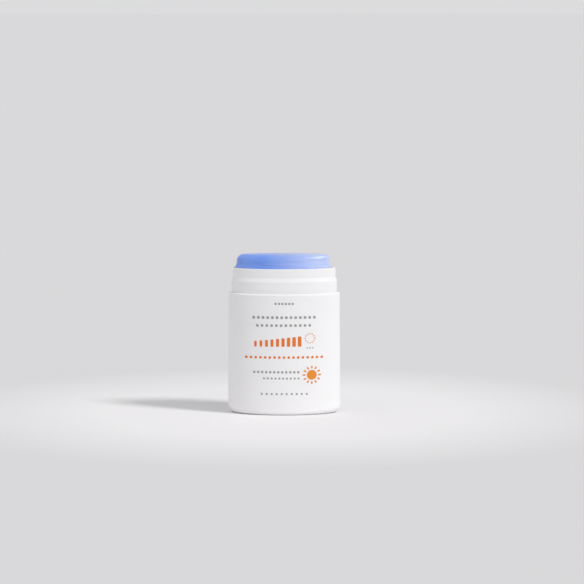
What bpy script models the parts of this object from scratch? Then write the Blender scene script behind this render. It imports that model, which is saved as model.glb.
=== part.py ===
"""Twist-up sunscreen stick, oval, with the cap off.

An outer sleeve covers an inner barrel. A dial in the recess under the foot turns a
lead screw, which lifts the platform and the balm that stands on it.
Metres, +Z up, origin at the middle of the foot. X runs across the wide face and -Y is
the front. Every oval is the foot's oval drawn in by an inset, so walls are even.
"""

import math

import bmesh
import bpy

MM = 0.001

# Outer sleeve
BODY_WIDTH = 34.0 * MM
BODY_DEPTH = 17.4 * MM
SLEEVE_HEIGHT = 36.6 * MM
SLEEVE_WALL = 1.1 * MM
SLEEVE_DRAFT = 0.18 * MM
FOOT_FILLET = 2.4 * MM
FOOT_FLAT = 0.7 * MM
SHOULDER_ROUND = 0.22 * MM
LIP_DEPTH = 1.2 * MM
SNAP_DROP = 5.0 * MM
SNAP_BITE = 0.35 * MM
SNAP_FLAT = 0.5 * MM
SNAP_SLOPE = 0.5 * MM

# Inner barrel
NECK_HEIGHT = 7.4 * MM
NECK_LEDGE = 0.86 * MM
NECK_STEP = 0.43 * MM
UPPER_BAND = 2.7 * MM
RAMP_HEIGHT = 1.15 * MM
BEAD_RISE = 0.08 * MM
BEAD_HEIGHT = 0.8 * MM
RIM_WALL = 0.92 * MM
RIM_ROUND = 0.2 * MM
SKIRT_WALL = 0.7 * MM
FLOOR_THICKNESS = 1.0 * MM
BOSS_WALL = 1.0 * MM
BOSS_TOP_WALL = 0.9 * MM

# Base plate
RECESS_DEPTH = 4.4 * MM
PLATE_THICKNESS = 1.0 * MM
PLATE_FLANGE = 1.4 * MM

# Dial
KNOB_SIDE_ROOM = 0.7 * MM
KNOB_RECESS = 0.5 * MM
FLUTE_DEPTH = 0.3 * MM
FLUTE_COUNT = 24
FLUTE_POINTS = 5
DIAL_FLANGE_THICKNESS = 1.0 * MM
GRIP_BAR_WIDTH = 1.7 * MM
GRIP_WALL = 1.0 * MM
GRIP_DEPTH = 1.2 * MM

# Lead screw
SCREW_CORE_RADIUS = 1.7 * MM
SCREW_LEAD = 4.0 * MM
RIDGE_RADIUS = 0.62 * MM
RIDGE_STAND = 0.05 * MM
RIDGE_SEGMENTS = 18
SCREW_TOP_DROP = 2.0 * MM
SCREW_TIP = 0.5 * MM
COLLAR_LIP = 1.0 * MM
COLLAR_THICKNESS = 0.9 * MM
DRIVE_SIDE = 2.4 * MM
DRIVE_LENGTH = 3.6 * MM

# Seal ring
SEAL_TUBE_RADIUS = 0.4 * MM
SEAL_TUBE_SEGMENTS = 8

# Platform
DECK_THICKNESS = 1.1 * MM
DECK_SKIRT_WALL = 0.8 * MM
HUB_WALL = 1.4 * MM
HUB_HEIGHT = 5.6 * MM
PEG_RADIUS = 0.6 * MM
PEG_HEIGHT = 3.4 * MM
PEG_FIRST = 6.2 * MM
PEG_SPACING = 4.2 * MM
PEG_COLUMNS = 2
PEG_ROW_SHARE = 0.5
PEG_SEGMENTS = 10

# Balm
DOME_RISE = 4.2 * MM
DOME_LEAN = 0.45 * MM
DOME_ROUND = 1.3 * MM
DOME_CROWN = 0.12 * MM
DOME_CROWN_WIDTH = 2.0 * MM
BORE_END_ROOM = 0.4 * MM

# Clearances
SHELL_GAP = 0.2 * MM
SEAT_GAP = 0.25 * MM
RUNNING_GAP = 0.3 * MM
THREAD_GAP = 0.2 * MM
WIPER_GAP = 0.2 * MM
DRIVE_GAP = 0.2 * MM
SEAL_GAP = 0.15 * MM
OVERRUN = 1.0 * MM
WELD_DISTANCE = 0.01 * MM

# Fineness
OVAL_SEGMENTS = 60
ROUND_SEGMENTS = 28
ARC_STEPS = 4
SMALL_ARC_STEPS = 2
SHARP_ANGLE = math.radians(30)

# Insets of the ovals, from the outside in
FOOT_INSET = FOOT_FILLET + FOOT_FLAT
NECK_INSET = SLEEVE_DRAFT + NECK_LEDGE
UPPER_BAND_INSET = NECK_INSET + NECK_STEP
CAVITY_INSET = UPPER_BAND_INSET + RIM_WALL
PLATFORM_INSET = CAVITY_INSET + WIPER_GAP

# Heights, from the foot up
PLATE_TOP = RECESS_DEPTH + PLATE_THICKNESS
SKIRT_BOTTOM = PLATE_TOP + SEAT_GAP
DIAL_FLANGE_BOTTOM = PLATE_TOP + SEAT_GAP
DIAL_FLANGE_TOP = DIAL_FLANGE_BOTTOM + DIAL_FLANGE_THICKNESS
COLLAR_BOTTOM = DIAL_FLANGE_TOP + SEAT_GAP
COLLAR_TOP = COLLAR_BOTTOM + COLLAR_THICKNESS
SEAL_HEIGHT = COLLAR_TOP + SEAL_GAP + SEAL_TUBE_RADIUS
SEAL_POCKET_TOP = SEAL_HEIGHT + SEAL_TUBE_RADIUS + SEAL_GAP
BOSS_TOP = SEAL_POCKET_TOP + BOSS_TOP_WALL
FLOOR_BOTTOM = DIAL_FLANGE_TOP + RUNNING_GAP
FLOOR_TOP = FLOOR_BOTTOM + FLOOR_THICKNESS
DECK_BOTTOM = BOSS_TOP + RUNNING_GAP
DECK_TOP = DECK_BOTTOM + DECK_THICKNESS
DECK_SKIRT_BOTTOM = FLOOR_TOP + RUNNING_GAP
HUB_TOP = DECK_BOTTOM + HUB_HEIGHT
PEG_TOP = DECK_TOP + PEG_HEIGHT
BALM_BOTTOM = DECK_TOP + SEAT_GAP
BARREL_SEAT = SLEEVE_HEIGHT - LIP_DEPTH
SNAP_HEIGHT = SLEEVE_HEIGHT - SNAP_DROP
RIM_HEIGHT = SLEEVE_HEIGHT + NECK_HEIGHT
BALM_TOP = RIM_HEIGHT + DOME_RISE
SCREW_TOP = RIM_HEIGHT - SCREW_TOP_DROP
RIDGE_BOTTOM = DECK_BOTTOM + RIDGE_RADIUS
RIDGE_TOP = SCREW_TOP - SCREW_TIP - RIDGE_RADIUS


def sleeve_inset(height):
    """The sleeve's inner wall, which leans in with its draft."""
    return SLEEVE_WALL + SLEEVE_DRAFT * height / SLEEVE_HEIGHT


def barrel_inset(height):
    """The barrel's outside where the sleeve covers it."""
    return sleeve_inset(height) + SHELL_GAP


# Radii on the screw's axis
KNOB_RADIUS = BODY_DEPTH / 2 - FOOT_INSET - KNOB_SIDE_ROOM
KNOB_HOLE_RADIUS = KNOB_RADIUS + RUNNING_GAP
SKIRT_INNER_INSET = barrel_inset(SKIRT_BOTTOM) + SKIRT_WALL
DIAL_FLANGE_RADIUS = BODY_DEPTH / 2 - SKIRT_INNER_INSET - RUNNING_GAP
COLLAR_RADIUS = SCREW_CORE_RADIUS + COLLAR_LIP
COLLAR_POCKET_RADIUS = COLLAR_RADIUS + RUNNING_GAP
BOSS_RADIUS = COLLAR_POCKET_RADIUS + BOSS_WALL
SHAFT_HOLE_RADIUS = SCREW_CORE_RADIUS + RUNNING_GAP
SEAL_RING_RADIUS = SCREW_CORE_RADIUS + SEAL_GAP + SEAL_TUBE_RADIUS
RIDGE_PATH_RADIUS = SCREW_CORE_RADIUS + RIDGE_STAND
THREAD_RADIUS = RIDGE_PATH_RADIUS + RIDGE_RADIUS
HUB_BORE_RADIUS = SCREW_CORE_RADIUS + RUNNING_GAP
HUB_RADIUS = THREAD_RADIUS + THREAD_GAP + HUB_WALL
BALM_BORE_RADIUS = THREAD_RADIUS + RUNNING_GAP


def clear_scene():
    for old in list(bpy.data.objects):
        bpy.data.objects.remove(old)


def new_collection(name):
    made = bpy.data.collections.new(name)
    bpy.context.scene.collection.children.link(made)
    return made


def new_material(name, colour, roughness, metallic=0.0):
    made = bpy.data.materials.new(name)
    made.use_nodes = True
    shader = made.node_tree.nodes["Principled BSDF"]
    shader.inputs["Base Color"].default_value = (*colour, 1.0)
    shader.inputs["Roughness"].default_value = roughness
    shader.inputs["Metallic"].default_value = metallic
    made.diffuse_color = (*colour, 1.0)
    return made


def keep(builder, name, collection, material=None):
    """Makes an object of a bmesh, smooth but for its edges. One without a material is a cutter."""
    bmesh.ops.recalc_face_normals(builder, faces=builder.faces)
    mesh = bpy.data.meshes.new(name)
    builder.to_mesh(mesh)
    builder.free()
    made = bpy.data.objects.new(name, mesh)
    collection.objects.link(made)
    if material is None:
        made.hide_render = True
        made.display_type = "WIRE"
        return made
    mesh.materials.append(material)
    mesh.shade_smooth()
    mesh.set_sharp_from_angle(angle=SHARP_ANGLE)
    return made


def oval_solid(name, outline, collection, material=None, hollow=False):
    """A loft through ovals. The outline holds (inset from the foot's oval, height) pairs.

    The first and last ovals are filled, or joined to each other where it is hollow. Unit
    circles are bridged first and then sized, because bridging misses rings that lie close.
    """
    builder = bmesh.new()
    rings = []
    loops = []
    for level in range(len(outline)):
        ring = bmesh.ops.create_circle(builder, segments=OVAL_SEGMENTS, radius=1.0)["verts"]
        bmesh.ops.translate(builder, vec=(0.0, 0.0, level), verts=ring)
        rings.append(ring)
        loops.append(list({edge for vert in ring for edge in vert.link_edges}))
    for lower, upper in zip(loops, loops[1:]):
        bmesh.ops.bridge_loops(builder, edges=lower + upper)
    if hollow:
        bmesh.ops.bridge_loops(builder, edges=loops[-1] + loops[0])
    else:
        bmesh.ops.contextual_create(builder, geom=loops[0])
        bmesh.ops.contextual_create(builder, geom=loops[-1])
    for ring, (inset, height) in zip(rings, outline):
        for vert in ring:
            vert.co.x *= BODY_WIDTH / 2 - inset
            vert.co.y *= BODY_DEPTH / 2 - inset
            vert.co.z = height
    return keep(builder, name, collection, material)


def arc(centre, radius, start, end, steps=ARC_STEPS):
    """Points of an arc in (inset, height). At 0 degrees it points inwards and at 90 up."""
    points = []
    for step in range(steps + 1):
        angle = math.radians(start + (end - start) * step / steps)
        inset = centre[0] + radius * math.cos(angle)
        height = centre[1] + radius * math.sin(angle)
        points.append((inset, height))
    return points


def round_bar(name, radius, bottom, top, collection, material=None, tip_radius=None):
    """An upright cylinder between two heights, or a cone where its tip has a radius."""
    builder = bmesh.new()
    bmesh.ops.create_cone(
        builder,
        cap_ends=True,
        segments=ROUND_SEGMENTS,
        radius1=radius,
        radius2=radius if tip_radius is None else tip_radius,
        depth=top - bottom,
    )
    bmesh.ops.translate(builder, vec=(0.0, 0.0, (bottom + top) / 2), verts=builder.verts)
    return keep(builder, name, collection, material)


def square_bar(name, side, bottom, top, collection, width=None):
    """An upright square bar on the axis, or one that is wider across than it is deep."""
    builder = bmesh.new()
    bmesh.ops.create_cube(builder, size=1.0)
    size = (side if width is None else width, side, top - bottom)
    bmesh.ops.scale(builder, vec=size, verts=builder.verts)
    bmesh.ops.translate(builder, vec=(0.0, 0.0, (bottom + top) / 2), verts=builder.verts)
    return keep(builder, name, collection)


def peg_bars(name, radius, bottom, top, collection):
    """The pegs of the platform as one cutter, in rows before and behind the hub."""
    builder = bmesh.new()
    for column in range(PEG_COLUMNS):
        across = PEG_FIRST + PEG_SPACING * column
        reach = math.sqrt(1 - (across / (BODY_WIDTH / 2 - PLATFORM_INSET)) ** 2)
        deep = (BODY_DEPTH / 2 - PLATFORM_INSET) * reach * PEG_ROW_SHARE
        for side in (-1, 1):
            for row in (-1, 1):
                peg = bmesh.ops.create_cone(
                    builder,
                    cap_ends=True,
                    segments=PEG_SEGMENTS,
                    radius1=radius,
                    radius2=radius,
                    depth=top - bottom,
                )["verts"]
                place = (side * across, row * deep, (bottom + top) / 2)
                bmesh.ops.translate(builder, vec=place, verts=peg)
    return keep(builder, name, collection)


def solid_from_curve(curve_object, name, collection, material=None):
    """Puts a closed mesh object in the place of a curve object."""
    bpy.context.view_layer.update()
    graph = bpy.context.evaluated_depsgraph_get()
    mesh = bpy.data.meshes.new_from_object(curve_object.evaluated_get(graph))
    builder = bmesh.new()
    builder.from_mesh(mesh)
    bmesh.ops.remove_doubles(builder, verts=builder.verts, dist=WELD_DISTANCE)
    made = keep(builder, name, collection, material)
    made.matrix_world = curve_object.matrix_world.copy()
    bpy.data.objects.remove(curve_object)
    return made


def helix_rod(name, rod_radius, bottom, top, collection):
    """A round rod wound left-handed round the axis, always in step with the screw's ridge."""
    steps = max(2, round(RIDGE_SEGMENTS * (top - bottom) / SCREW_LEAD))
    curve = bpy.data.curves.new(name, "CURVE")
    curve.dimensions = "3D"
    curve.bevel_depth = rod_radius
    curve.bevel_resolution = 2
    curve.use_fill_caps = True
    spline = curve.splines.new("POLY")
    spline.points.add(steps)
    for step, point in enumerate(spline.points):
        height = bottom + (top - bottom) * step / steps
        turn = -math.tau * height / SCREW_LEAD
        across = RIDGE_PATH_RADIUS * math.cos(turn)
        deep = RIDGE_PATH_RADIUS * math.sin(turn)
        point.co = (across, deep, height, 1.0)
    path = bpy.data.objects.new(name + "_path", curve)
    collection.objects.link(path)
    return solid_from_curve(path, name, collection)


def combine(target, other, operation):
    made = target.modifiers.new(other.name, "BOOLEAN")
    made.operation = operation
    made.object = other


def make_outer_sleeve(parts, white):
    """The printed shell: rounded foot, seat and snap groove for the barrel, thinner lip."""
    lip_inset = NECK_INSET - SHELL_GAP
    groove_inset = sleeve_inset(SNAP_HEIGHT) - SNAP_BITE
    shoulder = (SLEEVE_DRAFT + SHOULDER_ROUND, SLEEVE_HEIGHT - SHOULDER_ROUND)
    foot = (FOOT_FILLET, FOOT_FILLET)
    outline = [
        *arc(foot, FOOT_FILLET, 270, 180, ARC_STEPS + 1),
        *arc(shoulder, SHOULDER_ROUND, 180, 90, SMALL_ARC_STEPS),
        (lip_inset, SLEEVE_HEIGHT),
        (lip_inset, BARREL_SEAT),
        (sleeve_inset(BARREL_SEAT), BARREL_SEAT),
        (sleeve_inset(SNAP_HEIGHT), SNAP_HEIGHT + SNAP_FLAT / 2 + SNAP_SLOPE),
        (groove_inset, SNAP_HEIGHT + SNAP_FLAT / 2),
        (groove_inset, SNAP_HEIGHT - SNAP_FLAT / 2),
        (sleeve_inset(SNAP_HEIGHT), SNAP_HEIGHT - SNAP_FLAT / 2 - SNAP_SLOPE),
        *arc(foot, FOOT_FILLET - SLEEVE_WALL, 180, 270, SMALL_ARC_STEPS + 1),
        (FOOT_INSET, SLEEVE_WALL),
        (FOOT_INSET, 0.0),
    ]
    oval_solid("outer_sleeve", outline, parts, white, hollow=True)


def make_inner_barrel(parts, cutters, white):
    """Neck, cavity and floor, with a boss that carries the screw's collar and its seal."""
    ridge_inset = barrel_inset(SNAP_HEIGHT) - SNAP_BITE
    ramp_top = RIM_HEIGHT - UPPER_BAND
    ramp_bottom = ramp_top - RAMP_HEIGHT
    rim_outside = (UPPER_BAND_INSET + RIM_ROUND, RIM_HEIGHT - RIM_ROUND)
    rim_inside = (CAVITY_INSET - RIM_ROUND, RIM_HEIGHT - RIM_ROUND)
    outline = [
        (SKIRT_INNER_INSET, FLOOR_BOTTOM),
        (SKIRT_INNER_INSET, SKIRT_BOTTOM),
        (barrel_inset(SKIRT_BOTTOM), SKIRT_BOTTOM),
        (barrel_inset(SNAP_HEIGHT), SNAP_HEIGHT - SNAP_FLAT / 2 - SNAP_SLOPE),
        (ridge_inset, SNAP_HEIGHT - SNAP_FLAT / 2),
        (ridge_inset, SNAP_HEIGHT + SNAP_FLAT / 2),
        (barrel_inset(SNAP_HEIGHT), SNAP_HEIGHT + SNAP_FLAT / 2 + SNAP_SLOPE),
        (barrel_inset(BARREL_SEAT), BARREL_SEAT + SEAT_GAP),
        (NECK_INSET, BARREL_SEAT + SEAT_GAP),
        (NECK_INSET, ramp_bottom - BEAD_HEIGHT),
        (NECK_INSET - BEAD_RISE, ramp_bottom - BEAD_HEIGHT / 2),
        (NECK_INSET, ramp_bottom),
        (UPPER_BAND_INSET - NECK_STEP / 3, ramp_top - RAMP_HEIGHT / 3),
        (UPPER_BAND_INSET, ramp_top),
        *arc(rim_outside, RIM_ROUND, 180, 90, SMALL_ARC_STEPS),
        *arc(rim_inside, RIM_ROUND, 90, 0, SMALL_ARC_STEPS),
        (CAVITY_INSET, FLOOR_TOP),
    ]
    barrel = oval_solid("inner_barrel", outline, parts, white)
    boss_bottom = FLOOR_BOTTOM + FLOOR_THICKNESS / 2
    boss = round_bar("boss", BOSS_RADIUS, boss_bottom, BOSS_TOP, cutters)
    pocket_bottom = FLOOR_BOTTOM - OVERRUN
    pocket = round_bar("collar_pocket", COLLAR_POCKET_RADIUS, pocket_bottom, SEAL_POCKET_TOP, cutters)
    hole_top = BOSS_TOP + OVERRUN
    shaft_hole = round_bar("shaft_hole", SHAFT_HOLE_RADIUS, FLOOR_BOTTOM, hole_top, cutters)
    combine(barrel, boss, "UNION")
    combine(barrel, pocket, "DIFFERENCE")
    combine(barrel, shaft_hole, "DIFFERENCE")


def make_base_plate(parts, cutters, white):
    """Closes the sleeve from inside, lines the finger recess and holds the dial in."""
    flange_bottom = PLATE_TOP - PLATE_FLANGE
    rim_bottom = SLEEVE_WALL + SEAT_GAP
    outline = [
        (FOOT_INSET, RECESS_DEPTH),
        (FOOT_INSET, rim_bottom),
        (FOOT_FILLET, rim_bottom),
        (FOOT_FILLET, flange_bottom),
        (barrel_inset(PLATE_TOP), flange_bottom),
        (barrel_inset(PLATE_TOP), PLATE_TOP),
    ]
    plate = oval_solid("base_plate", outline, parts, white)
    hole_bottom = RECESS_DEPTH - OVERRUN
    hole = round_bar("knob_hole", KNOB_HOLE_RADIUS, hole_bottom, PLATE_TOP + OVERRUN, cutters)
    combine(plate, hole, "DIFFERENCE")


def fluted_knob(name, bottom, top, parts, cutters, white):
    """An upright knob with shallow round flutes in its edge."""
    curve = bpy.data.curves.new(name + "_outline", "CURVE")
    curve.dimensions = "2D"
    curve.fill_mode = "BOTH"
    curve.extrude = (top - bottom) / 2
    spline = curve.splines.new("POLY")
    spline.use_cyclic_u = True
    spline.points.add(FLUTE_COUNT * FLUTE_POINTS - 1)
    for step, point in enumerate(spline.points):
        turn = math.tau * step / (FLUTE_COUNT * FLUTE_POINTS)
        radius = KNOB_RADIUS - FLUTE_DEPTH * abs(math.sin(turn * FLUTE_COUNT / 2))
        point.co = (radius * math.cos(turn), radius * math.sin(turn), 0.0, 1.0)
    outline = bpy.data.objects.new(name + "_outline", curve)
    outline.location.z = (bottom + top) / 2
    cutters.objects.link(outline)
    return solid_from_curve(outline, name, parts, white)


def make_dial(parts, cutters, white):
    """Fluted knob with a finger bar between two pockets, a flange and a square socket."""
    knob_top = DIAL_FLANGE_BOTTOM + DIAL_FLANGE_THICKNESS / 2
    dial = fluted_knob("dial", KNOB_RECESS, knob_top, parts, cutters, white)
    flange = round_bar(
        "dial_flange", DIAL_FLANGE_RADIUS, DIAL_FLANGE_BOTTOM, DIAL_FLANGE_TOP, cutters
    )
    grip_radius = KNOB_RADIUS - FLUTE_DEPTH - GRIP_WALL
    grip_bottom = KNOB_RECESS - OVERRUN
    grip_top = KNOB_RECESS + GRIP_DEPTH
    pockets = round_bar("grip_pockets", grip_radius, grip_bottom, grip_top, cutters)
    bar = square_bar(
        "grip_bar",
        GRIP_BAR_WIDTH,
        grip_bottom - OVERRUN,
        grip_top + OVERRUN,
        cutters,
        width=2 * KNOB_RADIUS,
    )
    combine(pockets, bar, "DIFFERENCE")
    socket_side = DRIVE_SIDE + 2 * DRIVE_GAP
    socket_bottom = COLLAR_BOTTOM - DRIVE_LENGTH - SEAT_GAP
    socket_top = DIAL_FLANGE_TOP + OVERRUN
    socket = square_bar("drive_socket", socket_side, socket_bottom, socket_top, cutters)
    combine(dial, flange, "UNION")
    combine(dial, pockets, "DIFFERENCE")
    combine(dial, socket, "DIFFERENCE")


def make_lead_screw(parts, cutters, white):
    """Square drive, collar, core and a left-handed ridge, so clockwise from below lifts."""
    collar_middle = COLLAR_BOTTOM + COLLAR_THICKNESS / 2
    core_top = SCREW_TOP - SCREW_TIP
    screw = round_bar("lead_screw", SCREW_CORE_RADIUS, collar_middle, core_top, parts, white)
    collar = round_bar("collar", COLLAR_RADIUS, COLLAR_BOTTOM, COLLAR_TOP, cutters)
    drive = square_bar(
        "drive", DRIVE_SIDE, COLLAR_BOTTOM - DRIVE_LENGTH, collar_middle, cutters
    )
    tip = round_bar(
        "screw_tip",
        SCREW_CORE_RADIUS,
        core_top,
        SCREW_TOP,
        cutters,
        tip_radius=SCREW_CORE_RADIUS - SCREW_TIP,
    )
    ridge = helix_rod("ridge", RIDGE_RADIUS, RIDGE_BOTTOM, RIDGE_TOP, cutters)
    for piece in (collar, drive, tip, ridge):
        combine(screw, piece, "UNION")


def make_seal_ring(parts, rubber):
    """The ring round the screw that keeps the product out of the dial."""
    bpy.ops.mesh.primitive_torus_add(
        major_segments=ROUND_SEGMENTS,
        minor_segments=SEAL_TUBE_SEGMENTS,
        major_radius=SEAL_RING_RADIUS,
        minor_radius=SEAL_TUBE_RADIUS,
        location=(0.0, 0.0, SEAL_HEIGHT),
    )
    seal = bpy.context.object
    seal.name = "seal_ring"
    seal.data.materials.append(rubber)
    seal.data.shade_smooth()
    for holder in list(seal.users_collection):
        holder.objects.unlink(seal)
    parts.objects.link(seal)


def make_platform(parts, cutters, white):
    """The elevator: deck, wiping skirt, pegs that hold the balm, and a threaded hub."""
    outline = [
        (PLATFORM_INSET + DECK_SKIRT_WALL, DECK_BOTTOM),
        (PLATFORM_INSET + DECK_SKIRT_WALL, DECK_SKIRT_BOTTOM),
        (PLATFORM_INSET, DECK_SKIRT_BOTTOM),
        (PLATFORM_INSET, DECK_TOP),
    ]
    platform = oval_solid("platform", outline, parts, white)
    hub = round_bar("hub", HUB_RADIUS, DECK_BOTTOM, HUB_TOP, cutters)
    pegs = peg_bars("pegs", PEG_RADIUS, DECK_BOTTOM + DECK_THICKNESS / 2, PEG_TOP, cutters)
    bore = round_bar(
        "hub_bore", HUB_BORE_RADIUS, DECK_BOTTOM - OVERRUN, HUB_TOP + OVERRUN, cutters
    )
    groove = helix_rod(
        "hub_groove",
        RIDGE_RADIUS + THREAD_GAP,
        DECK_BOTTOM - SCREW_LEAD / 2,
        HUB_TOP + SCREW_LEAD / 2,
        cutters,
    )
    combine(platform, hub, "UNION")
    combine(platform, pegs, "UNION")
    combine(platform, bore, "DIFFERENCE")
    combine(platform, groove, "DIFFERENCE")


def make_balm(parts, cutters, wax):
    """The moulded stick: a straight column and a dome with a rounded shoulder."""
    shoulder_inset = PLATFORM_INSET + DOME_LEAN + DOME_ROUND
    shoulder_height = BALM_TOP - DOME_CROWN - DOME_ROUND
    outline = [
        (PLATFORM_INSET, BALM_BOTTOM),
        (PLATFORM_INSET, RIM_HEIGHT),
        *arc((shoulder_inset, shoulder_height), DOME_ROUND, 180, 90),
        (shoulder_inset + DOME_CROWN_WIDTH, BALM_TOP),
    ]
    balm = oval_solid("balm", outline, parts, wax)
    pocket_bottom = BALM_BOTTOM - OVERRUN
    hub_pocket = round_bar(
        "hub_pocket", HUB_RADIUS + SEAT_GAP, pocket_bottom, HUB_TOP + SEAT_GAP, cutters
    )
    peg_pockets = peg_bars(
        "peg_pockets", PEG_RADIUS + SEAT_GAP, pocket_bottom, PEG_TOP + SEAT_GAP, cutters
    )
    screw_bore = round_bar(
        "screw_bore", BALM_BORE_RADIUS, BALM_BOTTOM, SCREW_TOP + BORE_END_ROOM, cutters
    )
    combine(balm, hub_pocket, "DIFFERENCE")
    combine(balm, peg_pockets, "DIFFERENCE")
    combine(balm, screw_bore, "DIFFERENCE")


def main():
    clear_scene()
    parts = new_collection("sunscreen_stick")
    cutters = new_collection("cutters")
    white = new_material("white_plastic", (0.86, 0.86, 0.87), 0.38)
    inner_white = new_material("inner_white_plastic", (0.80, 0.80, 0.80), 0.45)
    wax = new_material("blue_balm", (0.22, 0.38, 0.81), 0.42)
    rubber = new_material("seal_rubber", (0.35, 0.35, 0.36), 0.7)
    make_outer_sleeve(parts, white)
    make_inner_barrel(parts, cutters, white)
    make_base_plate(parts, cutters, white)
    make_dial(parts, cutters, white)
    make_lead_screw(parts, cutters, inner_white)
    make_seal_ring(parts, rubber)
    make_platform(parts, cutters, inner_white)
    make_balm(parts, cutters, wax)


main()
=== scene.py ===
"""The looks of the twist-up sunscreen stick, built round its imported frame.

Metres, +Z up. The stick stands on its foot at the origin and its printed front faces -Y.
"""

import math

import bmesh
import bpy
from mathutils import Matrix, Vector, noise


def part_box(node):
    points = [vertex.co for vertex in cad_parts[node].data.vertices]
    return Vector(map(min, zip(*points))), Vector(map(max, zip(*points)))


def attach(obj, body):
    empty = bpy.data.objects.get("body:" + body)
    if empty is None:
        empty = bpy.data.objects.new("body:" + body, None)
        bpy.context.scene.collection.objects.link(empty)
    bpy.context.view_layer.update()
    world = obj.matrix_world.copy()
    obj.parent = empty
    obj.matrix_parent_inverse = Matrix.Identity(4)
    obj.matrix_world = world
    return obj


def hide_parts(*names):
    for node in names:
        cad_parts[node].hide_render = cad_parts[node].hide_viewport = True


MM = 0.001

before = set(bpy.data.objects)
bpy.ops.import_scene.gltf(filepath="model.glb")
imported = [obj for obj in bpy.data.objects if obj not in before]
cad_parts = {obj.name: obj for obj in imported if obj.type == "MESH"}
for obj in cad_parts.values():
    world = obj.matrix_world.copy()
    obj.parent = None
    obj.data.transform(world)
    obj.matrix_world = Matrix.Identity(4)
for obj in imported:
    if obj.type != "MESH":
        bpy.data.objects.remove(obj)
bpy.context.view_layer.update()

# Sizes that the frame gives
HALF_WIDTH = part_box("outer_sleeve")[1].x
HALF_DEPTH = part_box("outer_sleeve")[1].y
SQUEEZE = HALF_WIDTH - HALF_DEPTH
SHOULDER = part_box("outer_sleeve")[1].z
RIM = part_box("inner_barrel")[1].z
SKIRT_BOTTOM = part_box("inner_barrel")[0].z
PLATE_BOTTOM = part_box("base_plate")[0].z
PLATE_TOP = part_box("base_plate")[1].z
KNOB_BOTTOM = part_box("dial")[0].z
DIAL_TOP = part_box("dial")[1].z
DIAL_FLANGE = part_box("dial")[1].x
SCREW_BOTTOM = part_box("lead_screw")[0].z
SCREW_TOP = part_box("lead_screw")[1].z
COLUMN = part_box("platform")[1].x
PLATFORM_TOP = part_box("platform")[1].z
BALM_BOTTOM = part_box("balm")[0].z
BALM_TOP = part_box("balm")[1].z

# Outer sleeve
SLEEVE_WALL = 1.1 * MM
SLEEVE_DRAFT = 0.18 * MM
FOOT_FILLET = 2.4 * MM
FOOT_FLAT = 0.7 * MM
FOOT_FRONT_SHARE = 0.38
FOOT_TIGHTNESS = 0.78
FOOT_FRONT_TIGHTNESS = 0.28
SHOULDER_ROUND = 0.55 * MM
LIP_DEPTH = 1.2 * MM
LIP_GAP = 0.03 * MM
SNAP_DROP = 5.0 * MM
SNAP_BITE = 0.35 * MM
SNAP_FLAT = 0.5 * MM
SNAP_SLOPE = 0.5 * MM

# Inner barrel
NECK_LEDGE = 0.86 * MM
NECK_STEP = 0.43 * MM
NECK_WAIST = 0.10 * MM
NECK_WAIST_HEIGHT = 1.2 * MM
UPPER_BAND = 2.7 * MM
RAMP_HEIGHT = 1.15 * MM
BEAD_RISE = 0.03 * MM
BEAD_HEIGHT = 0.55 * MM
RIM_WALL = 0.92 * MM
RIM_ROUND = 0.22 * MM
SKIRT_WALL = 0.7 * MM
FLOOR_GAP = 0.3 * MM
FLOOR_THICKNESS = 1.0 * MM
BOSS_RADIUS = 4.0 * MM
BOSS_RISE = 1.85 * MM
COLLAR_POCKET_RADIUS = 3.0 * MM
COLLAR_POCKET_DEPTH = 1.95 * MM
SHAFT_HOLE_RADIUS = 2.0 * MM

# Base plate
PLATE_THICKNESS = 1.0 * MM
PLATE_FLANGE = 1.4 * MM
KNOB_HOLE_RADIUS = 5.2 * MM

# Dial
KNOB_RADIUS = 4.9 * MM
FLUTE_DEPTH = 0.3 * MM
FLUTE_COUNT = 24
FLUTE_SOFTNESS = 0.15
FLANGE_THICKNESS = 1.0 * MM
GRIP_RADIUS = 3.6 * MM
GRIP_BAR_WIDTH = 1.7 * MM
GRIP_DEPTH = 1.2 * MM
SOCKET_SIDE = 2.8 * MM

# Balm
HUB_POCKET_RADIUS = 4.22 * MM
PEG_POCKET_RADIUS = 0.85 * MM
PEG_POCKET_DEPTH = 3.4 * MM
PEG_FIRST = 6.2 * MM
PEG_SPACING = 4.2 * MM
PEG_COLUMNS = 2
PEG_ROW_SHARE = 0.5
SCREW_BORE_RADIUS = 2.67 * MM
BORE_END_ROOM = 0.4 * MM
DOME_BASE = 0.25 * MM
DOME_LEAN = 0.69 * MM
DOME_LEFT_ROUND = 1.9 * MM
DOME_RIGHT_ROUND = 0.9 * MM
DOME_FRONT_ROUND = 2.2 * MM
DOME_CROWN = 0.12 * MM
DOME_SHIFT_LEFT = 0.65 * MM
DOME_SHIFT_RIGHT = 0.1 * MM
SHIFT_START = 1.2 * MM
SHIFT_END = 0.4 * MM
DOME_WORN = 0.15 * MM
WORN_START_SHARE = 0.3
WORN_END_SHARE = 0.95
SMEAR_REACH = 0.35 * MM
SMEAR_RISE = 0.8 * MM
SMEAR_CLEARANCE = 0.08 * MM

# Drag marks on the dome, whose length and height are in millimetres
DRAG_LENGTH = 4.0
DRAG_HEIGHT = 0.7
DRAG_DEPTH_SHARE = 0.006

# Edges and gaps
SHELL_GAP = 0.2 * MM
SEAT_GAP = 0.25 * MM
FINE_EDGE = 0.05 * MM
SOFT_EDGE = 0.1 * MM
BROAD_EDGE = 0.3 * MM
POLE = 0.05 * MM

# Fineness
SEGMENTS = 240
POCKET_SEGMENTS = SEGMENTS // 4
PEG_SEGMENTS = SEGMENTS // 5
CORNER_STEPS = 5
WALL_STEPS = 10
ROUND_STEPS = 12
CROWN_STEPS = 8
SHARP_ANGLE = math.radians(40)

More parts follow.
